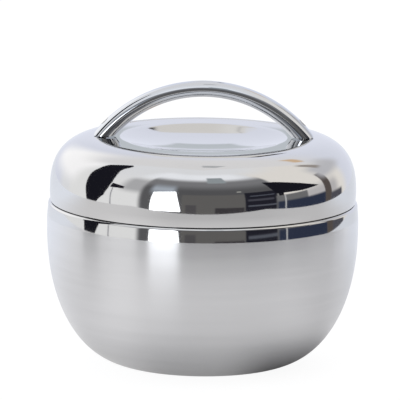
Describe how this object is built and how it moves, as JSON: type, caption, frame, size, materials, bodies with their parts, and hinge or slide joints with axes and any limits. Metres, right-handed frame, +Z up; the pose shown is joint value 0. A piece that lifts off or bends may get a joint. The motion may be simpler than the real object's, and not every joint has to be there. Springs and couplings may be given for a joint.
{
  "type": "insulated bowl",
  "caption": "Round insulated steel food bowl with a lift-out tray and a domed, insulated lid that has a polished arched carrying handle on top.",
  "frame": {"origin": "centre of the base, on the surface that the bowl stands on", "axes": "+Z up, through the middle of the bowl; X through both feet of the handle; -Y towards the viewer of the picture"},
  "size_m": [0.165, 0.165, 0.1509],
  "materials": {
    "body_steel": "satin stainless steel brushed round the body, with a mirror-polished band under the ledge",
    "liner_steel": "smooth, lightly polished stainless steel with fine turning marks",
    "polished_steel": "mirror-polished stainless steel",
    "hardware_steel": "plain machined stainless steel",
    "cover_plastic": "white moulded polypropylene",
    "insulation_foam": "rigid foam, fine cells",
    "seal_silicone": "soft grey silicone",
    "plug_rubber": "matt dark grey rubber"
  },
  "bodies": {
    "bowl": {"bowl_outer_shell": "body_steel", "bowl_liner": "liner_steel", "bowl_insulation": "insulation_foam", "fill_plug": "plug_rubber"},
    "tray": {"food_tray": "liner_steel"},
    "lid": {"lid_outer_shell": "polished_steel", "lid_inner_cover": "cover_plastic", "lid_insulation": "insulation_foam", "lid_seal": "seal_silicone", "handle": "polished_steel", "handle_lug_left": "hardware_steel", "handle_lug_right": "hardware_steel", "handle_screw_left": "hardware_steel", "handle_screw_right": "hardware_steel", "lug_washer_left": "hardware_steel", "lug_washer_right": "hardware_steel", "lug_nut_left": "hardware_steel", "lug_nut_right": "hardware_steel"}
  },
  "joints": [
    {"name": "lid_lift", "type": "slide", "parent": "bowl", "child": "lid", "axis": [0, 0, 1], "range_m": [0, 0.16]},
    {"name": "tray_lift", "type": "slide", "parent": "bowl", "child": "tray", "axis": [0, 0, 1], "range_m": [0, 0.08]}
  ],
  "couplings": [
    {"joint": "tray_lift", "follows": "lid_lift", "ratio": 0.5}
  ]
}
